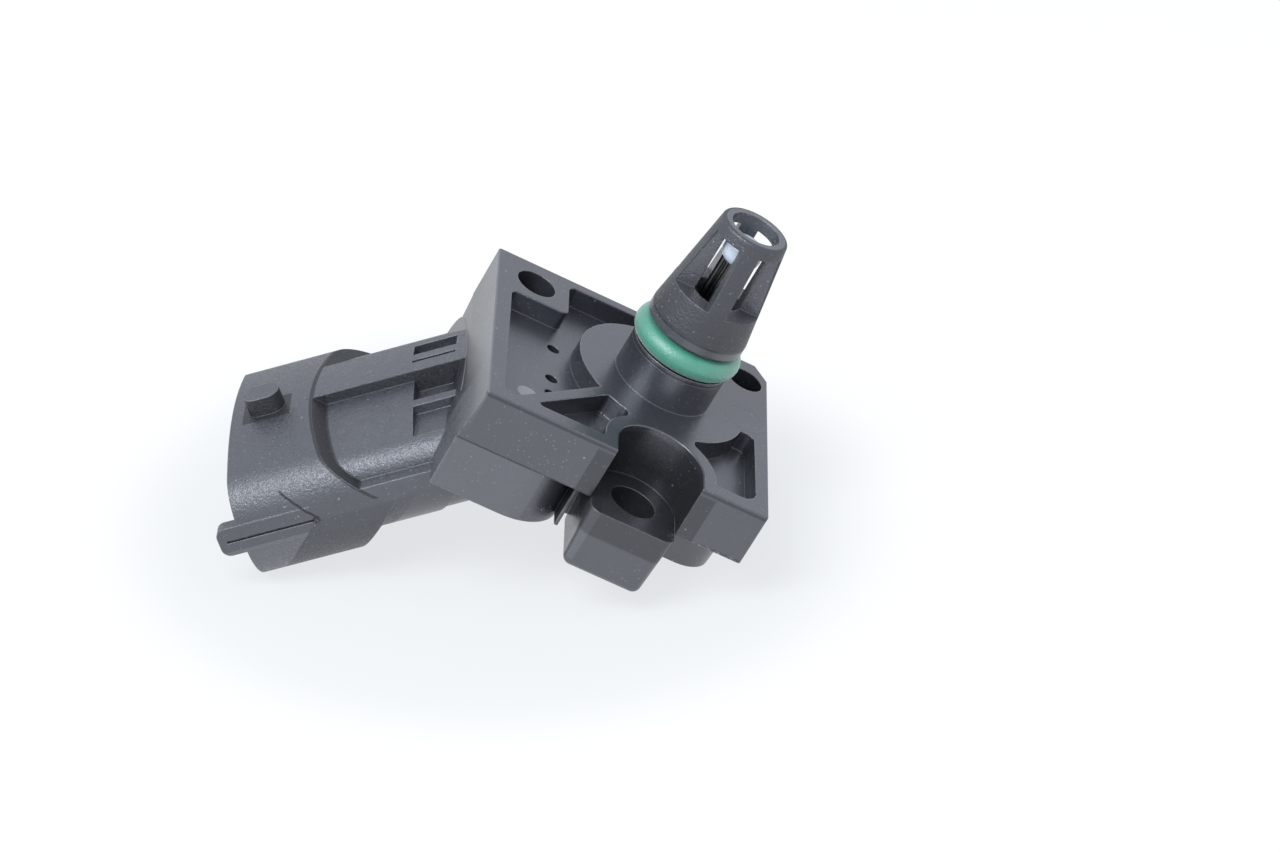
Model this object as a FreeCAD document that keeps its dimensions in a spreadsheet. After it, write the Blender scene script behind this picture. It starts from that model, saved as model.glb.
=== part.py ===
import FreeCAD, Part
import math
import os
import re
import Sketcher

# Pressure and temperature sensor for an intake manifold, in millimetres.
#
# The frame: Z runs up the axis of the pressure port, and z = 0 is the face of the
# flange that the port stands on. X runs from the connector side to the free side,
# and Y from the side with the screw lug to the far side.
#
# The housing is one moulding: flange, screw lug, port with its four-post cage, and
# the connector, which leaves the left side at 45 degrees. In the connector's own
# directions "along" runs from the frame's origin out through the mouth, "rise" points
# to the side with the latch nib, and the width is Y.

SIZES = [
    # reaches that only join or clear
    ("bite", 2.0, "how far a block reaches into the one that it joins"),
    ("spare", 1.0, "how far a cut runs past the face that it leaves"),
    ("far_out", 60.0, "reach of a cut that ends outside the part"),
    # flange
    ("flange_left", 22.1, "port axis to the left face"),
    ("flange_right", 14.3, "port axis to the right face"),
    ("right_slant", 0.3, "how much nearer the front end of the right face is"),
    ("flange_front", 19.86, "port axis to the front face"),
    ("flange_back", 14.3, "port axis to the back face"),
    ("flange_thick", 7.0, "height of the flange"),
    ("flange_round", 0.35, "radius of its upright edges"),
    ("rim_soft", 0.15, "radius of the edge round the flange face"),
    ("corner_cut_wide", 1.6, "cut corner at the back right, along X"),
    ("corner_cut_deep", 2.6, "cut corner at the back right, along Y"),
    # lower body
    ("body_depth", 14.0, "flange face to the underside"),
    ("body_front", 13.8, "port axis to the front wall of the lower body"),
    ("body_round", 5.0, "front right corner of the lower body"),
    ("wing_right", 6.3, "port axis to the end of the front left wing"),
    ("wing_round", 7.5, "radius at the end of the wing"),
    ("back_round", 0.7, "back left corner of the lower body"),
    ("body_draft", 3.5, "angle by which the lower body's sides draw in, degrees"),
    ("left_draft", 0.57, "how far the front of the left face leans out under the flange"),
    ("draft_start", 0.5, "flange face to the top of the leaning face"),
    ("draft_end", 7.4, "port axis to the back end of the leaning face"),
    ("stiffener_place", 6.95, "port axis to the thin rib beside the lug"),
    ("stiffener_thick", 0.42, "thickness of that rib"),
    ("stiffener_front", 18.6, "port axis to its front edge"),
    ("stiffener_under", 13.0, "flange face to its lower end"),
    # screw lug
    ("lug_place", 16.9, "port axis to the screw axis"),
    ("lug_bore", 2.85, "radius of the screw bore"),
    ("lug_half", 5.4, "half the width of the lug"),
    ("lug_nose", 5.5, "screw axis to the front face of the lug"),
    ("lug_bite", 1.0, "how far the lug's block reaches into the lower body"),
    ("lug_under", 15.5, "flange face to the underside of the lug"),
    ("lug_round", 1.5, "radius of its upright front edges"),
    ("lug_draft", 3.2, "angle by which the lug's sides draw in, degrees"),
    ("lug_foot_round", 1.0, "radius of its lower edges"),
    ("notch_half", 5.5, "radius of the notch over the lug"),
    # recesses in the flange face
    ("recess_depth", 2.5, "depth of the recesses"),
    ("recess_round", 1.0, "corner radius of the recesses"),
    ("recess_tight", 0.5, "corner radius beside the slanted web and the land of the notch"),
    ("recess_wide", 2.0, "front corner radius of the right recess"),
    ("under_land", 3.0, "how near the port axis the recesses start, under the land"),
    ("rim_wide", 2.1, "rim along the left and front faces"),
    ("rim_right", 1.95, "rim along the right face"),
    ("rim_back", 1.5, "rim along the back face"),
    ("port_land", 10.9, "radius of the land round the port"),
    ("lug_land", 7.2, "radius of the land round the notch"),
    ("land_round", 1.0, "radius where these two lands meet"),
    ("web_line", 0.7, "offset of the long recess's slanted side"),
    ("web_thick", 1.55, "thickness of the slanted web"),
    ("pocket_top", 5.7, "port axis to the boss round the left hole"),
    ("pocket_boss", 12.55, "port axis to the side of that boss"),
    ("back_recess_end", 7.5, "port axis to the end of the back recess"),
    ("side_recess_top", 2.9, "port axis to the end of the right recess"),
    # round marks on the floor of the long recess
    ("mark_place", 13.2, "port axis to the marks, along X"),
    ("mark_near", 9.5, "port axis to the front mark, along Y"),
    ("mark_middle", 6.07, "port axis to the middle mark, along Y"),
    ("mark_back", 0.92, "port axis to the back mark, along Y"),
    ("mark_round", 0.8, "radius of the marks"),
    ("mark_deep", 1.2, "depth of the marks"),
    # location holes
    ("left_hole_x", 16.94, "left hole, along X"),
    ("left_hole_y", 9.63, "left hole, along Y"),
    ("right_hole_x", 11.2, "right hole, along X"),
    ("right_hole_y", 9.8, "right hole, along Y"),
    ("left_hole_round", 2.5, "radius of the left hole"),
    ("right_hole_round", 2.3, "radius of the right hole"),
    ("hole_deep", 5.2, "depth of the holes"),
    # port
    ("port_radius", 6.18, "radius of the port below the cage"),
    ("port_length", 23.25, "flange face to the tip"),
    ("tip_radius", 4.2, "radius of the tip"),
    ("groove_low", 4.9, "lower side of the seal groove"),
    ("groove_high", 8.4, "upper side of the seal groove"),
    ("groove_radius", 3.85, "radius of the groove's floor"),
    ("nose_start", 9.6, "where the cone begins"),
    ("tip_round", 0.4, "radius of the edge at the tip"),
    ("cage_bore", 3.1, "inner radius of the cage"),
    ("cage_floor", 13.55, "lower end of the windows"),
    ("cage_rim", 1.5, "ring of the cage beyond the windows"),
    ("post_half", 1.1, "half the width of a cage post"),
    ("port_bore", 2.4, "radius of the bore inside the seal groove"),
    ("bore_step", 10.4, "where the cage bore narrows"),
    ("ceiling", 4.5, "flange face to the ceiling of the chamber"),
    ("bore_floor", 2.4, "flange face to the floor of the port bore"),
    ("duct_place", 1.62, "port axis to the duct into the chamber"),
    ("duct_radius", 0.75, "radius of that duct"),
    # seal ring
    ("seal_section", 1.51, "radius of the seal's section"),
    # temperature sensor
    ("bead_radius", 2.4, "radius of the bead"),
    ("bead_sink", 1.7, "tip of the port to the bead"),
    ("bead_long", 3.35, "length of the bead"),
    ("bead_round", 1.5, "radius of the bead's edges"),
    ("lead_radius", 0.45, "radius of a lead"),
    ("lead_place", 0.9, "port axis to the middle between the leads"),
    ("lead_pitch", 1.1, "distance between the leads"),
    # connector
    ("tilt", 45.0, "angle between the connector and the flange, degrees"),
    ("mouth", 50.25, "origin to the mouth"),
    ("shroud_start", 34.15, "length of the block that the shroud is cut from"),
    ("shroud_half", 15.8, "half the width of the shroud"),
    ("shroud_low", 5.0, "underside of the shroud, below the origin's line"),
    ("shroud_ridge", 11.46, "where the two slopes of the crown would meet"),
    ("shroud_slope", 3.36, "fall of the crown from the ridge to the side"),
    ("crown_round", 52.0, "radius of the crown"),
    ("shoulder_round", 5.0, "radius of the upper corners"),
    ("foot_round", 6.5, "radius of the lower corners"),
    ("shroud_wall", 1.6, "wall of the shroud"),
    ("socket_deep", 10.5, "depth of the socket"),
    ("neck_far", 40.1, "origin to the far end of the neck's block, inside the shroud"),
    ("neck_long", 25.1, "length of that block"),
    ("neck_inset", 2.0, "how far the neck's sides lie inside the shroud's"),
    ("neck_sink", 1.4, "how far the neck's crown lies below the shroud's"),
    ("neck_low", 2.9, "underside of the neck"),
    ("step_near", 27.0, "near end of the small ledge on the neck's front side"),
    ("step_far", 32.6, "far end of that ledge"),
    ("step_low", 4.1, "rise of its underside"),
    ("step_high", 5.2, "rise of its top"),
    ("step_proud", 1.2, "how far the ledge stands out of the neck's side"),
    ("collar_high", 21.1, "flange face to the end of the shroud's upper side"),
    ("collar_left", 23.9, "port axis to the end of the shroud's lower side"),
    ("skirt_right", 18.1, "port axis to the end of the skirt under the neck"),
    ("skirt_low", 2.9, "underside of the skirt"),
    ("skirt_top", 5.2, "upper side of the skirt along the neck"),
    ("spine_front", 0.5, "front side of the raised strip on the neck"),
    ("spine_back", 7.35, "back side of the raised strip on the neck"),
    ("cell_near", 22.4, "near end of the small pockets on the neck"),
    ("cell_far", 27.8, "far end of the small pockets on the neck"),
    ("cell_deep", 7.4, "rise of the floor of the small pockets"),
    ("rib_cell_front", 4.6, "front side of the pocket beside the raised strip"),
    ("edge_cell_back", 5.8, "back side of the pocket near the neck's edge"),
    ("edge_cell_front", 11.2, "front side of the pocket near the neck's edge"),
    ("slot_front", 1.6, "front side of the slot in the raised strip"),
    ("slot_back", 2.2, "back side of the slot"),
    ("frame_front", 3.6, "front side of the framed pocket in the raised strip"),
    ("frame_back", 6.2, "back side of the framed pocket"),
    ("frame_deep", 8.6, "rise of the floor of the slot and the framed pocket"),
    ("nib_near", 43.6, "near end of the latch nib"),
    ("nib_far", 48.0, "far end of the latch nib"),
    ("nib_half", 1.65, "half the width of the nib"),
    ("nib_top", 12.6, "rise of the nib's top"),
    ("nib_tall", 3.2, "height of the nib's block, which reaches into the crown"),
    ("nib_round", 1.5, "radius of the nib's corners"),
    ("key_low", 1.0, "lower side of the key bar"),
    ("key_high", 4.7, "upper side of the key bar"),
    ("key_near", 41.3, "near end of the key bar"),
    ("key_far", 53.05, "far end of the key bar"),
    ("key_proud", 0.05, "how far the key bar stands out of the side"),
    ("key_groove", 0.35, "width of the line along the key bar"),
    ("key_line_gap", 1.0, "end of the bar to the end of that line"),
    ("key_round", 1.1, "radius of the key bar's corners"),
    # terminals
    ("pin_rise", 2.65, "rise of the terminals"),
    ("pin_tip", 46.2, "origin to the tips of the terminals"),
    ("pin_taper", 1.2, "length of the tapered tip"),
    ("pin_narrow", 0.24, "how far the tapered tip narrows on each side"),
    ("pin_wide", 2.8, "width of a terminal"),
    ("pin_thick", 0.8, "thickness of a terminal"),
    ("pin_pitch", 5.0, "distance between terminals"),
    ("pin_end", 4.2, "port axis to the inner ends of the terminals"),
    # chamber
    ("chamber_left", 6.5, "port axis to the left wall of the chamber"),
    ("chamber_right", 11.3, "port axis to the right wall of the chamber"),
    ("chamber_front", 10.9, "port axis to the front wall of the chamber"),
    ("chamber_back", 11.3, "port axis to the back wall of the chamber"),
    ("chamber_round", 1.5, "corner radius of the chamber"),
    ("ledge_wide", 1.2, "ledge that carries the cover"),
    ("ledge_round", 2.1, "corner radius of the ledge and the cover"),
    ("cover_gap", 0.1, "gap round the cover"),
    ("cover_thick", 1.4, "thickness of the cover"),
    ("glue_thick", 0.2, "thickness of the glue lines"),
    # measuring cell
    ("cell_case_place", 4.6, "port axis to the middle of the cell"),
    ("cell_case_half", 4.3, "half the width of the cell"),
    ("cell_case_high", 3.7, "height of the cell"),
    ("well_radius", 3.7, "radius of the well in the cell"),
    ("well_deep", 2.7, "depth of the well"),
    ("gel_gap", 0.7, "distance from the cell's rim down to the gel"),
    ("glass_side", 2.2, "side of the glass pedestal"),
    ("glass_high", 0.8, "height of the glass pedestal"),
    ("die_side", 1.9, "side of the pressure die"),
    ("die_high", 0.4, "height of the pressure die"),
    ("chip_side", 1.5, "side of the signal chip"),
    ("chip_high", 0.4, "height of the signal chip"),
    ("chip_place", 2.2, "middle of the cell to the signal chip"),
    ("ribbon_thick", 0.06, "thickness of a bond ribbon"),
    ("ribbon_wide", 0.2, "width of a bond ribbon"),
    ("ribbon_pitch", 0.45, "distance between bond ribbons"),
    ("ribbon_foot", 0.15, "length of a ribbon's foot"),
    ("ribbon_inset", 0.2, "edge of the die or chip to the end of a ribbon"),
    ("ribbon_loop", 0.25, "height of a ribbon over the die"),
    # circuit board
    ("board_thick", 0.8, "thickness of the board"),
    ("board_gap", 0.5, "gap between the board and the chamber's walls"),
    ("capacitor_long", 2.0, "length of a capacitor"),
    ("capacitor_wide", 1.25, "width of a capacitor"),
    ("capacitor_high", 0.6, "height of a capacitor"),
    ("capacitor_pitch", 4.0, "distance between capacitors"),
    ("capacitor_place", 3.0, "front edge of the board to the middle of the capacitors"),
    ("solder_foot", 0.8, "radius of a solder joint on the board"),
    ("solder_tip", 0.35, "radius of its far end"),
    ("solder_high", 0.5, "height of that joint"),
]

NAMES = {row[0] for row in SIZES}
WORD = re.compile(r"[A-Za-z_][A-Za-z_0-9]*")

doc = FreeCAD.newDocument("pressure_sensor")
sheet = doc.addObject("Spreadsheet::Sheet", "Sizes")
for line, (alias, number, note) in enumerate(SIZES, start=1):
    sheet.set(f"A{line}", alias)
    sheet.set(f"B{line}", str(number))
    sheet.set(f"C{line}", note)
    sheet.setAlias(f"B{line}", alias)
doc.recompute()


def bound(text):
    """The text with each size's name turned into a reference to the sheet."""
    return WORD.sub(lambda m: "Sizes." + m.group() if m.group() in NAMES else m.group(), str(text))


def value(text):
    """The number that a text of sizes stands for."""
    return float(sheet.evalExpression(str(text)))


def bind(thing, prop, text):
    thing.setExpression(prop, bound(text))


def new_body(label):
    body = doc.addObject("PartDesign::Body", label)
    body.Label = label
    return body


def sketch_on(body, name, role, base=("0", "0", "0"), turn=None):
    """A sketch on one of the body's origin planes, moved and turned by sizes."""
    sketch = body.newObject("Sketcher::SketchObject", name)
    plane = next(f for f in body.Origin.OriginFeatures if f.Role == role)
    sketch.AttachmentSupport = [(plane, "")]
    sketch.MapMode = "FlatFace"
    if turn:
        axis, angle = turn
        turned = FreeCAD.Rotation(axis, value(angle))
        sketch.AttachmentOffset = FreeCAD.Placement(FreeCAD.Vector(), turned)
        bind(sketch, ".AttachmentOffset.Rotation.Angle", f"({angle}) * 1 deg")
    for key, text in zip("xyz", base):
        if text != "0":
            bind(sketch, f".AttachmentOffset.Base.{key}", f"({text}) * 1 mm")
    return sketch


def fix_point(sketch, geometry, end, x, y):
    """Hold one point of a sketch at two sizes from its origin."""
    for kind, text in (("DistanceX", x), ("DistanceY", y)):
        number = sketch.addConstraint(
            Sketcher.Constraint(kind, -1, 1, geometry, end, value(text)))
        bind(sketch, f"Constraints[{number}]", text)


def outline(sketch, corners):
    """A closed outline through corners (x, y, radius); radius 0 is a sharp corner."""
    count = len(corners)
    spots = [FreeCAD.Vector(value(x), value(y), 0) for x, y, _ in corners]
    radii = [value(r) for _, _, r in corners]
    trims = []
    for k, spot in enumerate(spots):
        back = (spots[k - 1] - spot).normalize()
        ahead = (spots[(k + 1) % count] - spot).normalize()
        half = back.getAngle(ahead) / 2
        reach = radii[k] / math.tan(half) if radii[k] else 0.0
        middle = spot + (back + ahead).normalize() * (radii[k] / math.sin(half)) if radii[k] else spot
        trims.append((spot + back * reach, spot + ahead * reach, middle, back.cross(ahead).z < 0))
    marks = [sketch.addGeometry(Part.Point(spot), True) for spot in spots]
    lines = [sketch.addGeometry(Part.LineSegment(trims[k][1], trims[(k + 1) % count][0]), False)
             for k in range(count)]
    for k, (x, y, radius) in enumerate(corners):
        before, after = lines[k - 1], lines[k]
        if not radii[k]:
            sketch.addConstraint(Sketcher.Constraint("Coincident", before, 2, marks[k], 1))
            sketch.addConstraint(Sketcher.Constraint("Coincident", after, 1, marks[k], 1))
            continue
        start, end, middle, left = trims[k]
        first, last = (start, end) if left else (end, start)
        angles = [math.atan2(p.y - middle.y, p.x - middle.x) for p in (first, last)]
        circle = Part.Circle(middle, FreeCAD.Vector(0, 0, 1), radii[k])
        arc = sketch.addGeometry(Part.ArcOfCircle(circle, *angles), False)
        near, far = (1, 2) if left else (2, 1)
        sketch.addConstraint(Sketcher.Constraint("Tangent", before, 2, arc, near))
        sketch.addConstraint(Sketcher.Constraint("Tangent", after, 1, arc, far))
        number = sketch.addConstraint(Sketcher.Constraint("Radius", arc, radii[k]))
        bind(sketch, f"Constraints[{number}]", radius)
        sketch.addConstraint(Sketcher.Constraint("PointOnObject", marks[k], 1, before))
        sketch.addConstraint(Sketcher.Constraint("PointOnObject", marks[k], 1, after))
    for k, (x, y, _) in enumerate(corners):
        fix_point(sketch, marks[k], 1, x, y)


def box_corners(left, right, low, high, radius="0"):
    return [(left, low, radius), (right, low, radius), (right, high, radius), (left, high, radius)]


def circle(sketch, x, y, radius):
    ring = sketch.addGeometry(
        Part.Circle(FreeCAD.Vector(value(x), value(y), 0), FreeCAD.Vector(0, 0, 1), value(radius)), False)
    number = sketch.addConstraint(Sketcher.Constraint("Radius", ring, value(radius)))
    bind(sketch, f"Constraints[{number}]", radius)
    fix_point(sketch, ring, 3, x, y)


def arch(sketch, radius, centre, end):
    """A half circle about (0, centre) with straight sides that run down to y = end."""
    r, c, e = value(radius), value(centre), value(end)
    full = Part.Circle(FreeCAD.Vector(0, c, 0), FreeCAD.Vector(0, 0, 1), r)
    bow = sketch.addGeometry(Part.ArcOfCircle(full, 0, math.pi), False)
    points = [(-r, c), (-r, e), (r, e), (r, c)]
    sides = [sketch.addGeometry(Part.LineSegment(FreeCAD.Vector(*points[k], 0),
                                                 FreeCAD.Vector(*points[k + 1], 0)), False)
             for k in range(3)]
    for one, end_one, two, end_two in ((bow, 2, sides[0], 1), (sides[2], 2, bow, 1)):
        sketch.addConstraint(Sketcher.Constraint("Tangent", one, end_one, two, end_two))
    for k in range(2):
        sketch.addConstraint(Sketcher.Constraint("Coincident", sides[k], 2, sides[k + 1], 1))
    sketch.addConstraint(Sketcher.Constraint("Horizontal", sides[1]))
    sketch.addConstraint(Sketcher.Constraint("Vertical", sides[0]))
    number = sketch.addConstraint(Sketcher.Constraint("Radius", bow, r))
    bind(sketch, f"Constraints[{number}]", radius)
    fix_point(sketch, bow, 3, "0", centre)
    number = sketch.addConstraint(Sketcher.Constraint("DistanceY", -1, 1, sides[1], 1, e))
    bind(sketch, f"Constraints[{number}]", end)


def solid_step(body, kind, name, sketch, length, reverse=False, both=False):
    """A Pad or Pocket of a sketch, with its length bound to the sheet."""
    step = body.newObject("PartDesign::" + kind, name)
    step.Profile = sketch
    bind(step, "Length", length)
    step.Reversed = reverse
    if both:
        step.SideType = "Symmetric"
    sketch.Visibility = False
    return step


def turned_step(body, kind, name, sketch):
    """A Revolution or Groove of a sketch in the XZ plane about the Z axis."""
    step = body.newObject("PartDesign::" + kind, name)
    step.Profile = sketch
    axis = next(f for f in body.Origin.OriginFeatures if f.Role == "Z_Axis")
    step.ReferenceAxis = (axis, [""])
    step.Angle = 360.0
    return step


# How near two places must be to count as the same, in millimetres
MATCH = 1e-4

# The connector's directions, as texts for places in the XZ plane
COS, SIN = "cos(tilt * 1 deg)", "sin(tilt * 1 deg)"


def side_x(along, rise):
    return f"-({along}) * {COS} - ({rise}) * {SIN}"


def side_z(along, rise):
    return f"({rise}) * {COS} - ({along}) * {SIN}"


def line_x(rise, level):
    """The x at which a line along the connector, at a rise, reaches z = level."""
    return f"(({level}) * {COS} - ({rise})) / {SIN}"


def line_z(rise, x):
    """The z at which a line along the connector, at a rise, reaches a given x."""
    return f"(({x}) * {SIN} + ({rise})) / {COS}"


def across_sketch(body, name, along):
    """A sketch square to the connector; its x is Y and its y is the rise."""
    base = ("0", f"-({along}) * {SIN}", f"-({along}) * {COS}")
    return sketch_on(body, name, "YZ_Plane", base, (FreeCAD.Vector(1, 0, 0), "-tilt"))


def upper_sketch(body, name, rise):
    """A sketch on the connector's upper side; its x runs back along the connector."""
    base = (f"-({rise}) * {SIN}", "0", f"({rise}) * {COS}")
    return sketch_on(body, name, "XY_Plane", base, (FreeCAD.Vector(0, 1, 0), "-tilt"))


def side_sketch(body, name, place="0"):
    """A sketch upright along the connector; its x is X, its y is Z, at Y = place."""
    return sketch_on(body, name, "XZ_Plane", ("0", "0", f"-({place})"))


def level_sketch(body, name, height):
    return sketch_on(body, name, "XY_Plane", ("0", "0", height))


def shroud_section(sketch, inset, low, sink):
    """The connector's section: flat foot, round shoulders and a crowned upper side."""
    half = f"(shroud_half - {inset})"
    ridge = f"shroud_ridge - {sink}"
    shoulder = f"shroud_ridge - shroud_slope * {half} / shroud_half - {sink}"
    foot = f"foot_round - {inset}"
    crown = f"crown_round - {sink}"
    upper = f"shoulder_round - {inset}"
    outline(sketch, [(f"-{half}", f"-({low})", foot), (half, f"-({low})", foot),
                     (half, shoulder, upper), ("0", ridge, crown),
                     (f"-{half}", shoulder, upper)])


def add_connector(body):
    """The shroud, cut free round the neck, with the neck set back inside it."""
    sketch = across_sketch(body, "shroud_profile", "mouth")
    shroud_section(sketch, "0", "shroud_low", "0")
    solid_step(body, "Pad", "shroud", sketch, "shroud_start")
    sketch = side_sketch(body, "shroud_end_profile")
    outline(sketch, box_corners("-collar_left", "0", "-far_out", "0"))
    solid_step(body, "Pocket", "shroud_end", sketch, "far_out", both=True)
    sketch = across_sketch(body, "skirt_profile", "neck_far")
    shroud_section(sketch, "0", "skirt_low", "0")
    solid_step(body, "Pad", "skirt", sketch, "neck_long")
    sketch = side_sketch(body, "skirt_end_profile")
    outline(sketch, box_corners("-skirt_right", "0", "-far_out", "0"))
    solid_step(body, "Pocket", "skirt_end", sketch, "far_out", both=True)
    relief = [("-far_out", "-collar_high", "0"),
              (line_x("skirt_top", "-collar_high"), "-collar_high", "0"),
              ("-flange_left", line_z("skirt_top", "-flange_left"), "0"),
              ("-flange_left", "0", "0"), ("-far_out", "0", "0")]
    for name, place, back in (("front_relief", "-spine_front", False),
                              ("back_relief", "spine_back", True)):
        sketch = side_sketch(body, name + "_profile", place)
        outline(sketch, relief)
        solid_step(body, "Pocket", name, sketch, "far_out", reverse=not back)
    sketch = across_sketch(body, "neck_profile", "neck_far")
    shroud_section(sketch, "neck_inset", "neck_low", "neck_sink")
    solid_step(body, "Pad", "neck", sketch, "neck_long")


def add_neck_step(body):
    """The small ledge on the neck's front side."""
    corners = [("step_near", "step_low"), ("step_far", "step_low"),
               ("step_far", "step_high"), ("step_near", "step_high")]
    sketch = side_sketch(body, "neck_step_profile", "-(shroud_half - neck_inset + step_proud)")
    outline(sketch, [(side_x(a, r), side_z(a, r), "0") for a, r in corners])
    solid_step(body, "Pad", "neck_step", sketch, "step_proud + bite", reverse=True)


def add_neck_cells(body):
    """Small pockets in the neck beside the flange, with thin ribs between them."""
    for name, floor, front, back in (
            ("rib_cell", "cell_deep", "-rib_cell_front", "-spine_front"),
            ("edge_cell", "cell_deep", "-edge_cell_front", "-edge_cell_back"),
            ("slot_cell", "frame_deep", "slot_front", "slot_back"),
            ("frame_cell", "frame_deep", "frame_front", "frame_back")):
        sketch = upper_sketch(body, name + "_profile", "shroud_ridge")
        outline(sketch, box_corners("-cell_far", "-cell_near", front, back))
        solid_step(body, "Pocket", name, sketch, f"shroud_ridge - {floor}")


def add_nib(body):
    sketch = upper_sketch(body, "nib_profile", "nib_top")
    outline(sketch, box_corners("-nib_far", "-nib_near", "-nib_half", "nib_half", "nib_round"))
    solid_step(body, "Pad", "nib", sketch, "nib_tall", reverse=True)


def add_keys(body):
    """A key bar on each side that runs out past the mouth, with a line along it."""
    corners = [("key_near", "key_low", "0"), ("key_far", "key_low", "key_round"),
               ("key_far", "key_high", "key_round"), ("key_near", "key_high", "0")]
    low, high = "(key_low + key_high - key_groove) / 2", "(key_low + key_high + key_groove) / 2"
    groove = [("key_near", low), ("key_far - key_line_gap", low),
              ("key_far - key_line_gap", high), ("key_near", high)]
    outer = "shroud_half + key_proud"
    for name, place, flip in (("front_key", f"-({outer})", True), ("back_key", outer, False)):
        sketch = side_sketch(body, name + "_profile", place)
        outline(sketch, [(side_x(a, r), side_z(a, r), radius) for a, r, radius in corners])
        solid_step(body, "Pad", name, sketch, "shroud_wall + key_proud", reverse=flip)
        sketch = side_sketch(body, name + "_line_profile", place)
        outline(sketch, [(side_x(a, r), side_z(a, r), "0") for a, r in groove])
        solid_step(body, "Pocket", name + "_line", sketch, "key_groove", reverse=not flip)


def add_flange(body):
    sketch = level_sketch(body, "flange_profile", "0")
    outline(sketch, [("-flange_left", "-flange_front", "flange_round"),
                     ("flange_right - right_slant", "-flange_front", "flange_round"),
                     ("flange_right", "flange_back - corner_cut_deep", "0"),
                     ("flange_right - corner_cut_wide", "flange_back", "0"),
                     ("-flange_left", "flange_back", "flange_round")])
    solid_step(body, "Pad", "flange", sketch, "flange_thick", reverse=True)
    sketch = level_sketch(body, "lower_profile", "-flange_thick")
    outline(sketch, [("-flange_left", "-body_front", "0"),
                     ("flange_right - right_slant", "-body_front", "body_round"),
                     ("flange_right - right_slant", "flange_back", "corner_cut_deep"),
                     ("-flange_left", "flange_back", "back_round")])
    lower = solid_step(body, "Pad", "lower_body", sketch, "body_depth - flange_thick", reverse=True)
    bind(lower, "TaperAngle", "-body_draft * 1 deg")
    sketch = level_sketch(body, "wing_profile", "-flange_thick")
    outline(sketch, [("-flange_left", "-flange_front", "flange_round"),
                     ("-wing_right", "-flange_front", "wing_round"),
                     ("-wing_right", "bite - body_front", "0"),
                     ("-flange_left", "bite - body_front", "0")])
    solid_step(body, "Pad", "wing", sketch, "body_depth - flange_thick", reverse=True)
    add_left_draft(body)
    sketch = level_sketch(body, "stiffener_profile", "-flange_thick")
    outline(sketch, box_corners("-stiffener_place - stiffener_thick / 2",
                                "-stiffener_place + stiffener_thick / 2",
                                "-stiffener_front", "-body_front"))
    solid_step(body, "Pad", "stiffener", sketch, "stiffener_under - flange_thick", reverse=True)


def add_left_draft(body):
    """The front of the left face leans out: a straight blend under the flange face, then a block."""
    inner = "bite - flange_left"
    sections = []
    for name, height, out in (("draft_top", "-draft_start", "0"), ("draft_foot", "-flange_thick", "left_draft")):
        sketch = level_sketch(body, name + "_profile", height)
        outline(sketch, [(f"-flange_left - {out}", "-flange_front", "0"), (inner, "-flange_front", "0"),
                         (inner, "-draft_end", "0"), ("-flange_left", "-draft_end", "0")])
        sections.append(sketch)
    loft = body.newObject("PartDesign::AdditiveLoft", "left_draft")
    loft.Profile = sections[0]
    loft.Sections = sections[1:]
    loft.Ruled = True
    sketch = level_sketch(body, "draft_block_profile", "-flange_thick")
    outline(sketch, [("-flange_left - left_draft", "-flange_front", "0"), (inner, "-flange_front", "0"),
                     (inner, "-draft_end", "0"), ("-flange_left", "-draft_end", "0")])
    solid_step(body, "Pad", "draft_block", sketch, "body_depth - flange_thick", reverse=True)


def add_notch(body):
    """The notch over the lug, cut after the lands so that it stays open."""
    sketch = level_sketch(body, "notch_profile", "0")
    arch(sketch, "notch_half", "-lug_place", "-flange_front - spare")
    solid_step(body, "Pocket", "notch", sketch, "flange_thick")


def add_lug(body):
    sketch = level_sketch(body, "lug_profile", "-flange_thick")
    outline(sketch, [("-lug_half", "-lug_place - lug_nose", "lug_round"),
                     ("lug_half", "-lug_place - lug_nose", "lug_round"),
                     ("lug_half", "lug_bite - body_front", "0"), ("-lug_half", "lug_bite - body_front", "0")])
    lug = solid_step(body, "Pad", "lug", sketch, "lug_under - flange_thick", reverse=True)
    bind(lug, "TaperAngle", "-lug_draft * 1 deg")
    under, front = -value("lug_under"), -value("body_front")
    soften(body, "lug_foot", "lug_foot_round", lambda box: near(box.ZMin, under) and near(box.ZMax, under)
           and box.YMin < front - value("lug_bite"))


def near(one, two):
    return abs(one - two) < MATCH


def soften(body, name, radius, chosen):
    """A fillet on the edges of the body so far whose boxes are chosen."""
    doc.recompute()
    last = body.Tip
    edges = [f"Edge{k}" for k, edge in enumerate(last.Shape.Edges, start=1) if chosen(edge.BoundBox)]
    fillet = body.newObject("PartDesign::Fillet", name)
    fillet.Base = (last, edges)
    bind(fillet, "Radius", radius)
    return fillet


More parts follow.
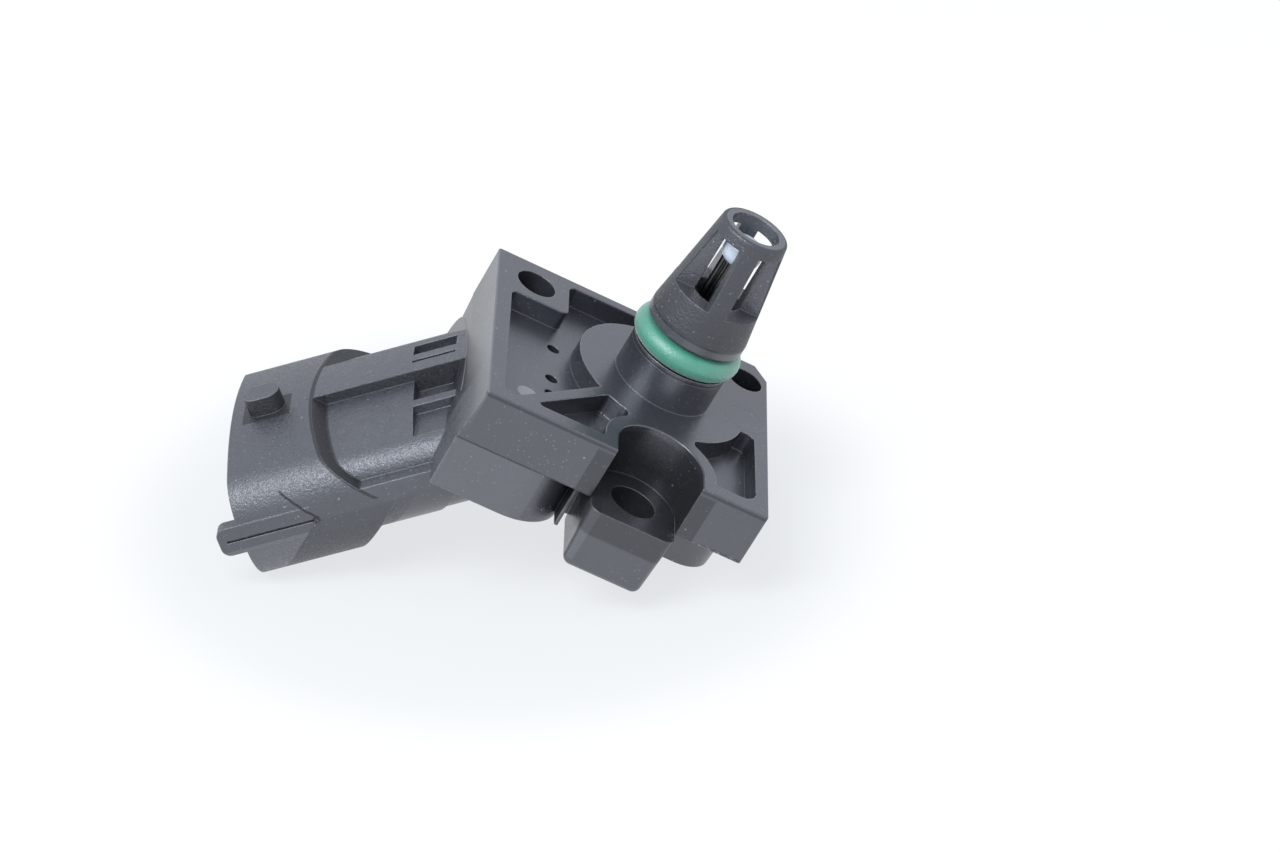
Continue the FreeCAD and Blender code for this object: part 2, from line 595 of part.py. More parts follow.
def round_land_corners(body):
    """The two upright edges where the land of the port meets the land of the notch."""
    port, lug, apart = value("port_land"), value("lug_land"), value("lug_place")
    y = (port ** 2 - lug ** 2 + apart ** 2) / (2 * apart)
    x = math.sqrt(port ** 2 - y ** 2)
    soften(body, "land_corners", "land_round", lambda box: near(abs(box.XMin), x) and near(box.XMin, box.XMax)
           and near(box.YMin, -y) and near(box.YMax, -y))
    y = value("flange_front - rim_wide")
    x = math.sqrt(lug ** 2 - (y - apart) ** 2) if y < apart else lug
    slant = value("web_thick * sqrt(2) - web_line")
    web = -(math.sqrt(2 * port ** 2 - slant ** 2) - slant) / 2
    spots = [(-x, -y), (x, -y), (web, web - slant)]
    soften(body, "recess_corners", "recess_tight", lambda box: near(box.ZMin, -value("recess_depth")) and
           any(near(box.XMin, a) and near(box.XMax, a) and near(box.YMin, b) and near(box.YMax, b) for a, b in spots))


def add_marks(body):
    """Three round marks in the floor of the long recess."""
    sketch = level_sketch(body, "marks_profile", "-recess_depth")
    for place in ("-mark_near", "-mark_middle", "mark_back"):
        circle(sketch, "-mark_place", place, "mark_round")
    solid_step(body, "Pocket", "marks", sketch, "mark_deep")


def soften_rim(body):
    """The outer edge round the flange face, and the edge of the notch in it."""
    left, right = -value("flange_left"), value("flange_right")
    front, back = -value("flange_front"), value("flange_back")
    cut = value("corner_cut_deep")
    soften(body, "rim_edge", "rim_soft", lambda box: near(box.ZMin, 0) and near(box.ZMax, 0) and (
        near(box.XMin, left) or near(box.XMax, right) or near(box.YMin, front) or near(box.YMax, back)
        or box.YMin > back - cut - MATCH))


def add_recesses(body):
    """Three recesses in the flange face, then the lands that stand up in them."""
    left = "-flange_left + rim_wide"
    front = "-flange_front + rim_wide"
    right = "flange_right - rim_right"
    slant = f"{front} - web_line"
    web = f"{front} + web_thick * sqrt(2) - web_line"
    inner = "-under_land"
    sketch = level_sketch(body, "long_recess_profile", "0")
    outline(sketch, [(left, front, "recess_round"), (slant, front, "recess_tight"),
                     (inner, f"{inner} + web_line", "0"), ("back_recess_end", f"{inner} + web_line", "0"),
                     ("back_recess_end", "flange_back - rim_back", "recess_round"),
                     ("-pocket_boss", "flange_back - rim_back", "recess_round"),
                     ("-pocket_boss", "pocket_top", "recess_round"),
                     (left, "pocket_top", "recess_round")])
    solid_step(body, "Pocket", "long_recess", sketch, "recess_depth")
    sketch = level_sketch(body, "corner_recess_profile", "0")
    outline(sketch, [(web, front, "recess_tight"), (inner, front, "0"),
                     (inner, f"{inner} - web_thick * sqrt(2) + web_line", "0")])
    solid_step(body, "Pocket", "corner_recess", sketch, "recess_depth")
    sketch = level_sketch(body, "side_recess_profile", "0")
    outline(sketch, [("under_land", front, "0"), (right, front, "recess_wide"),
                     (right, "-side_recess_top", "recess_round"),
                     ("under_land", "-side_recess_top", "0")])
    solid_step(body, "Pocket", "side_recess", sketch, "recess_depth")
    sketch = level_sketch(body, "port_land_profile", "0")
    circle(sketch, "0", "0", "port_land")
    solid_step(body, "Pad", "port_land", sketch, "recess_depth", reverse=True)
    sketch = level_sketch(body, "lug_land_profile", "0")
    arch(sketch, "lug_land", "-lug_place", "-flange_front + spare")
    solid_step(body, "Pad", "lug_land", sketch, "recess_depth", reverse=True)


def add_holes(body):
    for name, x, y in (("left_hole", "-left_hole_x", "left_hole_y"),
                       ("right_hole", "right_hole_x", "right_hole_y")):
        sketch = level_sketch(body, name + "_profile", "0")
        circle(sketch, x, y, name + "_round")
        solid_step(body, "Pocket", name, sketch, "hole_deep")
    sketch = level_sketch(body, "screw_bore_profile", "0")
    circle(sketch, "0", "-lug_place", "lug_bore")
    solid_step(body, "Pocket", "screw_bore", sketch, "lug_under + spare")


def add_port(body):
    sketch = side_sketch(body, "port_profile")
    outline(sketch, [("0", "-bite", "0"), ("port_radius", "-bite", "0"), ("port_radius", "groove_low", "0"),
                     ("groove_radius", "groove_low", "0"), ("groove_radius", "groove_high", "0"),
                     ("port_radius", "groove_high", "0"), ("port_radius", "nose_start", "0"),
                     ("tip_radius", "port_length", "tip_round"), ("0", "port_length", "0")])
    turned_step(body, "Revolution", "port", sketch)
    sketch = side_sketch(body, "port_bore_profile")
    outline(sketch, [("0", "-bore_floor", "0"), ("port_bore", "-bore_floor", "0"),
                     ("port_bore", "bore_step - spare", "0"), ("cage_bore", "bore_step", "0"),
                     ("cage_bore", "port_length + spare", "0"), ("0", "port_length + spare", "0")])
    turned_step(body, "Groove", "port_bore", sketch)
    sketch = level_sketch(body, "window_profile", "port_length - cage_rim")
    outline(sketch, box_corners("post_half", "port_radius + spare", "post_half", "port_radius + spare"))
    window = solid_step(body, "Pocket", "window", sketch, "port_length - cage_rim - cage_floor")
    windows = body.newObject("PartDesign::PolarPattern", "windows")
    windows.Originals = [window]
    axis = next(f for f in body.Origin.OriginFeatures if f.Role == "Z_Axis")
    windows.Axis = (axis, [""])
    windows.Angle = 360.0
    windows.Occurrences = 4
    body.Tip = windows


def add_socket(body):
    sketch = across_sketch(body, "socket_profile", "mouth")
    shroud_section(sketch, "shroud_wall", "shroud_low - shroud_wall", "shroud_wall")
    solid_step(body, "Pocket", "socket", sketch, "socket_deep", reverse=True)


def terminal_side(sketch, tip):
    """A bent terminal from the side: a slanted leg, then a level leg over the board."""
    low, high = "pin_rise - pin_thick / 2", "pin_rise + pin_thick / 2"
    board = "ceiling + glue_thick + cell_case_high"
    level = f"-({board})"
    upper = f"-({board}) + pin_thick"
    outline(sketch, tip + [(line_x(low, level), level, "0"), ("-pin_end", level, "0"),
                           ("-pin_end", upper, "0"), (line_x(high, upper), upper, "0")])


def terminal_place(number):
    return f"pin_pitch * {number - 1.5}"


def add_terminal_channels(body):
    """The plastic is moulded round the terminals, so it has their exact shape."""
    low, high = "pin_rise - pin_thick / 2", "pin_rise + pin_thick / 2"
    tip = [(side_x("pin_tip", high), side_z("pin_tip", high), "0"),
           (side_x("pin_tip", low), side_z("pin_tip", low), "0")]
    for number in range(4):
        place = terminal_place(number)
        sketch = side_sketch(body, f"channel_{number + 1}_profile", f"{place} - pin_wide / 2")
        terminal_side(sketch, tip)
        solid_step(body, "Pocket", f"channel_{number + 1}", sketch, "pin_wide")


def add_chamber(body):
    sketch = level_sketch(body, "chamber_profile", "-body_depth")
    outline(sketch, box_corners("-chamber_left", "chamber_right", "-chamber_front", "chamber_back",
                                "chamber_round"))
    solid_step(body, "Pocket", "chamber", sketch, "body_depth - ceiling", reverse=True)
    sketch = level_sketch(body, "ledge_profile", "-body_depth")
    outline(sketch, cover_corners("0"))
    solid_step(body, "Pocket", "ledge", sketch, "cover_thick + glue_thick", reverse=True)
    sketch = level_sketch(body, "duct_profile", "0")
    circle(sketch, "duct_place", "0", "duct_radius")
    solid_step(body, "Pocket", "duct", sketch, "ceiling + spare")
    for name, place in lead_places():
        sketch = level_sketch(body, name + "_hole_profile", "0")
        circle(sketch, place, "0", "lead_radius")
        solid_step(body, "Pocket", name + "_hole", sketch, "ceiling + spare")


def cover_corners(gap):
    wide = f"ledge_wide - ({gap})"
    return box_corners(f"-chamber_left - ({wide})", f"chamber_right + {wide}",
                       f"-chamber_front - ({wide})", f"chamber_back + {wide}",
                       "ledge_round")


def lead_places():
    return [("thermistor_lead_a", "-lead_place - lead_pitch / 2"),
            ("thermistor_lead_b", "-lead_place + lead_pitch / 2")]


def make_housing():
    body = new_body("housing")
    add_connector(body)
    add_neck_step(body)
    add_neck_cells(body)
    add_nib(body)
    add_keys(body)
    add_flange(body)
    add_lug(body)
    add_recesses(body)
    round_land_corners(body)
    add_marks(body)
    add_notch(body)
    soften_rim(body)
    add_holes(body)
    add_port(body)
    add_socket(body)
    add_chamber(body)
    add_terminal_channels(body)
    return body


def plate_body(label, corners, height, thick, holes=()):
    """A flat piece: an outline at a height, its thickness upwards, and round holes."""
    body = new_body(label)
    sketch = level_sketch(body, label + "_profile", height)
    outline(sketch, corners)
    for x, y, radius in holes:
        circle(sketch, x, y, radius)
    solid_step(body, "Pad", label + "_pad", sketch, thick)
    return body


def turned_body(label, corners, x="0", y="0"):
    """A round piece: an outline in the XZ plane turned about an upright axis."""
    body = new_body(label)
    sketch = side_sketch(body, label + "_profile")
    outline(sketch, corners)
    turned_step(body, "Revolution", label + "_turn", sketch)
    bind(body, ".Placement.Base.x", f"({x}) * 1 mm")
    bind(body, ".Placement.Base.y", f"({y}) * 1 mm")
    return body


def make_seal():
    body = new_body("o_ring")
    sketch = side_sketch(body, "o_ring_profile")
    circle(sketch, "groove_radius + seal_section", "groove_low + seal_section", "seal_section")
    turned_step(body, "Revolution", "o_ring_turn", sketch)
    return body


def make_cover():
    thin = "glue_thick"
    pieces = [plate_body("back_cover", cover_corners("cover_gap"), "-body_depth", "cover_thick")]
    body = plate_body("cover_adhesive", cover_corners("cover_gap"), "-body_depth + cover_thick", thin)
    sketch = level_sketch(body, "cover_adhesive_window", "-body_depth + cover_thick")
    outline(sketch, box_corners("-chamber_left", "chamber_right", "-chamber_front", "chamber_back",
                                "chamber_round"))
    solid_step(body, "Pocket", "cover_adhesive_open", sketch, thin, reverse=True)
    return pieces + [body]


def make_thermistor():
    """The bead in the cage and its two leads, which end in the circuit board."""
    high = "port_length - bead_sink"
    low = f"{high} - bead_long"
    middle = f"{high} - bead_long / 2"
    bead = turned_body("thermistor_bead", [
        ("0", low, "0"), ("bead_radius", low, "bead_round"),
        ("bead_radius", high, "bead_round"), ("0", high, "0")])
    sketch = level_sketch(bead, "bead_holes_profile", middle)
    for _, place in lead_places():
        circle(sketch, place, "0", "lead_radius")
    solid_step(bead, "Pocket", "bead_holes", sketch, "bead_long")
    pieces = [bead]
    for label, place in lead_places():
        body = new_body(label)
        sketch = level_sketch(body, label + "_profile", middle)
        circle(sketch, place, "0", "lead_radius")
        reach = f"{middle} + ceiling + glue_thick + cell_case_high + board_thick"
        solid_step(body, "Pad", label + "_pad", sketch, reach, reverse=True)
        pieces.append(body)
    return pieces


def make_terminals():
    low, high = "pin_rise - pin_thick / 2", "pin_rise + pin_thick / 2"
    narrow = "pin_narrow"
    tip = [(side_x("pin_tip - pin_taper", high), side_z("pin_tip - pin_taper", high), "0"),
           (side_x("pin_tip", f"{high} - {narrow}"), side_z("pin_tip", f"{high} - {narrow}"), "0"),
           (side_x("pin_tip", f"{low} + {narrow}"), side_z("pin_tip", f"{low} + {narrow}"), "0"),
           (side_x("pin_tip - pin_taper", low), side_z("pin_tip - pin_taper", low), "0")]
    pieces = []
    for number in range(4):
        body = new_body(f"terminal_{number + 1}")
        place = f"{terminal_place(number)} - pin_wide / 2"
        sketch = side_sketch(body, f"terminal_{number + 1}_profile", place)
        terminal_side(sketch, tip)
        solid_step(body, "Pad", f"terminal_{number + 1}_pad", sketch, "pin_wide", reverse=True)
        pieces.append(body)
    return pieces


CELL_TOP = "-ceiling - glue_thick"
CELL_FOOT = "-ceiling - glue_thick - cell_case_high"
WELL_FLOOR = "-ceiling - glue_thick - well_deep"


def square_corners(x, side):
    return box_corners(f"{x} - ({side}) / 2", f"{x} + ({side}) / 2", f"-({side}) / 2", f"({side}) / 2")


def make_cell():
    """The measuring cell under the duct: case, pedestal, die, chip, wires and gel."""
    corners = square_corners("cell_case_place", "cell_case_half * 2")
    case = plate_body("cell_case", corners, CELL_FOOT, "cell_case_high")
    sketch = level_sketch(case, "well_profile", CELL_TOP)
    circle(sketch, "cell_case_place", "0", "well_radius")
    solid_step(case, "Pocket", "well", sketch, "well_deep")
    glue = plate_body("cell_adhesive", corners, CELL_TOP, "glue_thick",
                      [("cell_case_place", "0", "well_radius")])
    glass = plate_body("glass_pedestal", square_corners("cell_case_place", "glass_side"),
                       WELL_FLOOR, "glass_high")
    die = plate_body("sensor_die", square_corners("cell_case_place", "die_side"),
                     f"{WELL_FLOOR} + glass_high", "die_high")
    chip = plate_body("signal_chip", square_corners("cell_case_place + chip_place", "chip_side"),
                      WELL_FLOOR, "chip_high")
    return [case, glue, glass, die, chip]


def make_wires():
    """Three bond ribbons from the die over to the chip, each a thin bent strip."""
    floor = value(WELL_FLOOR)
    start = value("cell_case_place + die_side / 2 - ribbon_inset")
    end = value("cell_case_place + chip_place - chip_side / 2 + ribbon_inset")
    die_top = floor + value("glass_high + die_high")
    chip_top = floor + value("chip_high")
    thick, wide, foot = value("ribbon_thick"), value("ribbon_wide"), value("ribbon_foot")
    crest = die_top + value("ribbon_loop")
    lower = [(start, die_top), (start + foot, die_top), ((start + end) / 2, crest),
             (end - foot, chip_top), (end, chip_top)]
    upper = [(x, z + thick) for x, z in reversed(lower)]
    strips = []
    for number in (-1, 0, 1):
        y = number * value("ribbon_pitch") - wide / 2
        points = [FreeCAD.Vector(x, y, z) for x, z in lower + upper]
        face = Part.Face(Part.makePolygon(points + points[:1]))
        strips.append(face.extrude(FreeCAD.Vector(0, wide, 0)))
    return Part.makeCompound(strips)


def make_gel(cell, wires):
    """Clear gel that fills the well to just below its rim, round what stands in it."""
    body = doc.addObject("Part::Cylinder", "gel_block")
    bind(body, "Radius", "well_radius")
    bind(body, "Height", "well_deep - gel_gap")
    bind(body, ".Placement.Base.x", "cell_case_place * 1 mm")
    bind(body, ".Placement.Base.z", f"({WELL_FLOOR}) * 1 mm")
    inside = doc.addObject("Part::MultiFuse", "gel_hollow")
    inside.Shapes = cell[2:] + [wires]
    gel = doc.addObject("Part::Cut", "gel_fill")
    gel.Base = body
    gel.Tool = inside
    gel.Label = "gel_fill"
    return gel


def make_board():
    """The circuit board under the cell, with its capacitors and the solder joints."""
    foot = f"{CELL_FOOT} - board_thick"
    corners = box_corners("-chamber_left + board_gap", "chamber_right - board_gap",
                          "-chamber_front + board_gap", "chamber_back - board_gap", "0")
    board = plate_body("circuit_board", corners, foot, "board_thick",
                       [(place, "0", "lead_radius") for _, place in lead_places()])
    pieces = [board]
    for number in range(3):
        x = f"cell_case_place + capacitor_pitch * {number - 1}"
        y = "-chamber_front + board_gap + capacitor_place"
        corners = box_corners(f"{x} - capacitor_long / 2", f"{x} + capacitor_long / 2",
                              f"{y} - capacitor_wide / 2", f"{y} + capacitor_wide / 2")
        pieces.append(plate_body(f"capacitor_{number + 1}", corners, f"{foot} - capacitor_high",
                                 "capacitor_high"))
    return pieces


def make_solder():
    """Solder at the four terminals and under the two leads, each a small dome."""
    joints = []
    foot = value(CELL_FOOT)
    size = value("pin_thick")
    end = -value("pin_end")
    for number in range(4):
        y = value(terminal_place(number))
        dome = Part.makeCylinder(size, value("pin_wide"),
                                 FreeCAD.Vector(end, y - value("pin_wide") / 2, foot),
                                 FreeCAD.Vector(0, 1, 0))
        keep = Part.makeBox(size, value("pin_wide"), size,
                            FreeCAD.Vector(end, y - value("pin_wide") / 2, foot))
        joints.append(dome.common(keep))
    below = foot - value("board_thick")
    for _, place in lead_places():
        centre = FreeCAD.Vector(value(place), 0, below)
        joints.append(Part.makeCone(value("solder_foot"), value("solder_tip"), value("solder_high"),
                                    centre, FreeCAD.Vector(0, 0, -1)))
    return Part.makeCompound(joints)


def feature(label, shape):
    piece = doc.addObject("Part::Feature", label)
    piece.Label = label
    piece.Shape = shape
    piece.Placement = FreeCAD.Placement()
    return piece


def build():
    pieces = [make_housing(), make_seal()]
    pieces += make_cover()
    pieces += make_thermistor()
    pieces += make_terminals()
    cell = make_cell()
    pieces += cell
    doc.recompute()
    wires = feature("bond_wires", make_wires())
    pieces += [wires, make_gel(cell, wires)]
    pieces += make_board()
    pieces.append(feature("solder_joints", make_solder()))
    doc.recompute()
    return pieces


def check(pieces):
    failed = [thing.Name for thing in doc.Objects if {"Invalid", "Error"} & set(thing.State)]
    failed += [piece.Label for piece in pieces if piece.Shape.isNull() or not piece.Shape.isValid()]
    if failed:
        raise RuntimeError("these did not build: " + ", ".join(failed))


PIECES = build()
check(PIECES)
os.makedirs("parts", exist_ok=True)
for piece in PIECES:
    piece.Shape.exportStep(f"parts/{piece.Label}.step")
    box = piece.Shape.BoundBox
    print(f"{piece.Label:20} solids {len(piece.Shape.Solids)}  volume {piece.Shape.Volume:9.2f}  "
          f"x {box.XMin:6.1f} {box.XMax:6.1f}  y {box.YMin:6.1f} {box.YMax:6.1f}  "
          f"z {box.ZMin:6.1f} {box.ZMax:6.1f}")
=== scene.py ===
# %% [markdown]
# A pressure and temperature sensor for an engine's intake manifold, dressed in Blender.
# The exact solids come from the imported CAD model. They are already in metres and in their
# own places, so this lesson leaves their shapes alone. It gives each one its finish and then
# adds the light, the ground and the camera of a product photograph.

# %% Load the solids
import math
import bmesh
import bpy
import numpy as np
from mathutils import Matrix, Vector

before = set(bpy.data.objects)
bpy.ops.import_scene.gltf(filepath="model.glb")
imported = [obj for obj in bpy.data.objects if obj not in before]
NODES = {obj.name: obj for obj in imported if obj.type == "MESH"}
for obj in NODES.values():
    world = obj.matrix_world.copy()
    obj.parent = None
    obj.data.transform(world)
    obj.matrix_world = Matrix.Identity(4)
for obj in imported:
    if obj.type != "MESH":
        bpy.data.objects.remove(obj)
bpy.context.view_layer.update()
scene = bpy.context.scene
MM = 0.001

# %% [markdown]
# Shader maths is easier to read as Python. The class below holds one output socket of a node
# tree. Adding, multiplying or comparing two of them adds the Math node that does it, so a
# mask can be written as 1 - mask. Colours and vectors go through Mix and Vector Math, because
# a Math node would turn a colour grey.

# %% A socket that can be calculated with
class Wire:
    """One output socket of a material's node tree."""

    def __init__(self, tree, socket):
        self.tree, self.socket = tree, socket

    def math(self, kind, *others):
        return math_node(self.tree, kind, self, *others)

    def __add__(self, other): return self.math("ADD", other)
    def __radd__(self, other): return self.math("ADD", other)
    def __sub__(self, other): return self.math("SUBTRACT", other)
    def __rsub__(self, other): return math_node(self.tree, "SUBTRACT", other, self)
    def __mul__(self, other): return self.math("MULTIPLY", other)
    def __rmul__(self, other): return self.math("MULTIPLY", other)
    def __gt__(self, other): return self.math("GREATER_THAN", other)
    def __lt__(self, other): return self.math("LESS_THAN", other)
    def __abs__(self): return self.math("ABSOLUTE")

    def high(self, other): return self.math("MAXIMUM", other)

    def between(self, start, stop):
        """0 below start, 1 above stop, and a soft step in between; works both ways."""
        return node(self.tree, "ShaderNodeMapRange", {"interpolation_type": "SMOOTHSTEP"},
                    {"Value": self, "From Min": start, "From Max": stop})


def node(tree, kind, settings=None, inputs=None, output=0):
    """Adds a node: its settings first, then values or links for its sockets."""
    made = tree.nodes.new(kind)
    for key, setting in (settings or {}).items():
        setattr(made, key, setting)
    for key, given in (inputs or {}).items():
        if isinstance(given, Wire):
            tree.links.new(given.socket, made.inputs[key])
        else:
            made.inputs[key].default_value = given
    return Wire(tree, made.outputs[output])


def math_node(tree, kind, *values):
    """A Math node on some wires or numbers."""
    return node(tree, "ShaderNodeMath", {"operation": kind}, dict(enumerate(values)))


# %% [markdown]
# Colours of the finishes are given as a display shows them, from 0 to 255, and turned into the
# linear numbers that a shader takes.

# %% Colours
def blend(tree, amount, one, two):
    """The colour one where amount is 0, the colour two where it is 1."""
    return node(tree, "ShaderNodeMix", {"data_type": "RGBA"}, {"Factor": amount, 6: one, 7: two},
                output=2)


def grey(level, tint=(0.0, 0.0, 0.0)):
    """A display grey of 0 to 255, with a small tint added, as a linear colour."""
    parts = [(level + t) / 255 for t in tint]
    linear = [((c + 0.055) / 1.055) ** 2.4 if c > 0.04045 else c / 12.92 for c in parts]
    return (*linear, 1.0)


def shown(red, green, blue):
    """A display colour as a linear one."""
    return grey(0, (red, green, blue))


# %% [markdown]
# Every finish starts in the same way: a Principled shader, and the place on the object in
# millimetres, which all patterns read. Settings that are the same all over the surface are
# put straight on the shader's own sockets.

# %% Start a finish
def finish(name, **fixed):
    """A new material, its tree, its shader and its Object coordinates as three wires in mm."""
    material = bpy.data.materials.new(name)
    material.use_nodes = True
    tree = material.node_tree
    shader = tree.nodes["Principled BSDF"]
    for key, setting in fixed.items():
        shader.inputs[key.replace("_", " ")].default_value = setting
    place = node(tree, "ShaderNodeTexCoord", output="Object")
    place = node(tree, "ShaderNodeVectorMath", {"operation": "SCALE"},
                 {0: place, "Scale": 1.0 / MM})
    split = tree.nodes.new("ShaderNodeSeparateXYZ")
    tree.links.new(place.socket, split.inputs[0])
    axes = [Wire(tree, split.outputs[k]) for k in range(3)]
    return material, tree, shader, place, axes


def feed(tree, shader, **wires):
    """Links what changes over the surface to the shader's sockets."""
    for key, wire in wires.items():
        tree.links.new(wire.socket, shader.inputs[key.replace("_", " ")])


def dress(names, material):
    """Gives CAD nodes their finish."""
    for name in names:
        mesh = NODES[name].data
        mesh.materials.clear()
        mesh.materials.append(material)
        first = np.zeros(len(mesh.polygons), dtype=np.int32)
        mesh.polygons.foreach_set("material_index", first)


# %% [markdown]
# Three patterns do most of the work: cloudy noise, the same noise drawn out in one direction,
# and small dots for dust.

# %% Patterns
def noise(tree, place, scale, detail=2.0, rough=0.5):
    """Cloudy noise around 0.5, with scale patches in each millimetre."""
    return node(tree, "ShaderNodeTexNoise", {},
                {"Vector": place, "Scale": scale, "Detail": detail, "Roughness": rough})


def drawn_out(tree, place, scales, detail):
    """Noise with its own number of patches in a millimetre along each axis."""
    place = node(tree, "ShaderNodeMapping", {}, {"Vector": place, "Scale": scales})
    return noise(tree, place, 1.0, detail)


def specks(tree, place, spacing, size):
    """1 inside small round dots that lie about a spacing apart, 0 elsewhere."""
    near = node(tree, "ShaderNodeTexVoronoi", {"feature": "F1"},
                {"Vector": place, "Scale": 1.0 / spacing})
    return near.between(size / spacing, 0.5 * size / spacing)


def relief(tree, height, strength, distance, **normal):
    """A bump by a height, whose distance is in mm."""
    return node(tree, "ShaderNodeBump", {},
                {"Strength": strength, "Distance": distance * MM, "Height": height, **normal})


# %% [markdown]
# Many small marks tell how the housing was moulded: the seam between the mould's halves, the
# rings that its ejector pins left, a step where a slide met it. Each is a mask, told by where
# it lies on the part. A line is 1 where some distance is nearly 0.

# %% Lines, bands and rings
def line(distance, wide):
    """1 along a line that is wide mm across, 0 beside it."""
    return abs(distance).between(0.7 * wide, 0.3 * wide)


def within(value, low, high, soft=0.1):
    """1 where a value lies between low and high, with soft ends."""
    return value.between(low, low + soft) * value.between(high, high - soft)


def away(across, up, middle=(0.0, 0.0)):
    """Distance from a point in a plane."""
    dx, dy = across - middle[0], up - middle[1]
    return (dx * dx + dy * dy).math("SQRT")


def strongest(*masks):
    """The highest of some masks at each place."""
    best = masks[0]
    for mask in masks[1:]:
        best = best.high(mask)
    return best


# %% [markdown]
# Along and rise are the connector's own directions, because it leaves the flange at 45
# degrees. Along runs from the port to the mouth, and rise to the side with the latch nib.

# %% The connector's directions
LEAN = math.sqrt(0.5)


def leaning(x, z):
    """Along and rise as wires."""
    return (x + z) * -LEAN, (z - x) * LEAN


# %% [markdown]
# The flange shows a wavering seam round its front, a line under its rim, a torn bit of flash,
# a ring from a pin on its upper face and a pale disc in a recess. Broken and torn are noises
# that keep these from being too neat.

# %% The marks on the flange
SEAM_Z, RIM_Z, WAVER = -6.98, -0.40, 0.12
FRONT_Y, LUG_LEFT, LUG_RIGHT = -19.4, -4.0, 4.5
TOP_RING, TOP_RING_RADIUS = (11.12, 0.4), 2.55
DISC, DISC_RADIUS = (-16.15, -11.7), 1.3


def flange_marks(x, y, z, broken, torn):
    front, left = y < FRONT_Y, x < LUG_LEFT
    waver = (broken - 0.5) * WAVER
    disc = away(x, y, DISC).between(DISC_RADIUS + 0.05, DISC_RADIUS - 0.05)
    return {
        "seam": line(z - SEAM_Z + waver, 0.22) * front * left,
        "below seam": within(z, -14.5, -7.0, 0.15) * front * left,
        "rim": line(z - RIM_Z + waver, 0.42) * front,
        "flash": within(z, -7.1, -6.6) * front * (x > LUG_RIGHT) * torn.between(0.5, 0.62),
        "top ring": line(away(x, y, TOP_RING) - TOP_RING_RADIUS, 0.2) * (z > -0.06),
        "disc": disc * within(z, -2.6, -2.4, 0.05),
        # Painted light: the left face is made paler towards its top.
        "left face": (x < -21.9) * z.between(-7.0, 0.0),
    }


# %% [markdown]
# The connector has two rings from pins, and on its front side a step with a kink, where two
# slides of the mould met. The surface behind that step is a little darker.

# %% The marks on the connector
PIN_AT, CROWN_PIN_Y, PANEL_PIN_Y = 33.9, 4.1, -6.6
STEP_X, STEP_Z, SIDE_Y = -30.9, -26.7, -11.5


def connector_marks(x, y, z, broken, torn):
    along, rise = leaning(x, z)
    neck = (z > -20.9) * (x < -23.0)
    side = (y < SIDE_Y) * (along > 38.0)
    slant = z - STEP_Z + (x + 31.0) * 0.08 + (broken - 0.5) * 0.3
    return {
        "crown ring": line(away(along, y, (PIN_AT, CROWN_PIN_Y)) - 4.1, 0.16) * neck * (rise > 9.4),
        "panel ring": (line(away(along, y, (PIN_AT, PANEL_PIN_Y)) - 3.4, 0.16) * neck
                       * within(rise, 8.0, 9.7)),
        "upper step": line(slant, 0.30) * side * within(x, -36.6, -30.6, 0.4) * (rise > 1.6),
        "lower step": line(x - STEP_X, 0.26) * side * within(z, -33.5, -27.2, 2.0),
        "kink": (away(x, z, (-31.0, -27.1)).between(0.75, 0.3) * side
                 * torn.between(0.35, 0.55)),
        "behind step": (within(x, STEP_X, -24.0, 0.1) * (y < SIDE_Y)
                        * within(rise, -6.0, 3.0, 0.6)),
        # Painted light: the side below the key is made paler.
        "below key": side * (x < STEP_X) * (rise < 1.5),
    }


# %% [markdown]
# It isn't known what stood round the part when it was photographed, and a few of its faces
# come out lighter or darker here than they did there. The masks below paint shade and light on
# them to make up for it: painted shade on the notch round the screw lug, the sides of the latch
# nib, the walls beside the panel and the skin of the port's cone, and painted light on the walls
# inside its cage. Apart from the line round the port, they aren't marks on the real part.

# %% Painted shade and light on some faces
CONE_TOP_Z, CONE_RADIUS, CONE_SLOPE = 17.17, 4.85, 0.17


def painted_light_and_port_line(x, y, z):
    along, rise = leaning(x, z)
    from_axis = away(x, y)
    cone = (from_axis + (z - CONE_TOP_Z) * CONE_SLOPE > CONE_RADIUS) * (z > 9.3)
    return {
        "port line": line(z - 4.35, 0.2) * (from_axis < 6.6),
        # Painted shade from the notch to the cone, and painted light in the cage.
        "notch": (abs(x) < 7.6) * (y < -9.6) * within(z, -10.6, -0.6, 0.5),
        "nib": (within(along, 42.8, 48.8) * within(y, -2.6, 2.2)
                * within(rise, 9.4, 12.62, 0.25)),
        "collar wall": within(z, -21.4, -20.9, 0.1) * (along > 30.0) * (rise > 3.5),
        "spine wall": (within(y, -0.62, -0.38, 0.05) * within(along, 20.0, 41.0)
                       * within(rise, 7.0, 10.4)),
        "cone": cone,
        "cage": z.between(10.0, 14.0) * (1 - cone),
    }


# %% [markdown]
# The marks and the painted shade and light come together as three wires. The first darkens,
# the second makes paler, and the third is a height in mm that the bump raises. The left face
# and the strip below the key are paler as painted light, and the strip below the seam is paler too.

# %% All marks, painted shade and painted light of the housing
# Notch, nib, collar wall, spine wall and cone are painted shade; left face, below key and cage in
# PALE are painted light.
DARK = {"seam": 0.7, "rim": 0.6, "upper step": 1.0, "lower step": 0.45, "kink": 1.0,
        "port line": 0.5, "behind step": 0.20, "notch": 0.55, "nib": 0.7, "collar wall": 0.8,
        "spine wall": 0.6, "cone": 0.5}
PALE = {"disc": 0.55, "below seam": 0.10, "left face": 0.16, "below key": 0.14, "cage": 0.09}
RAISED, SUNK = 0.05, 0.04


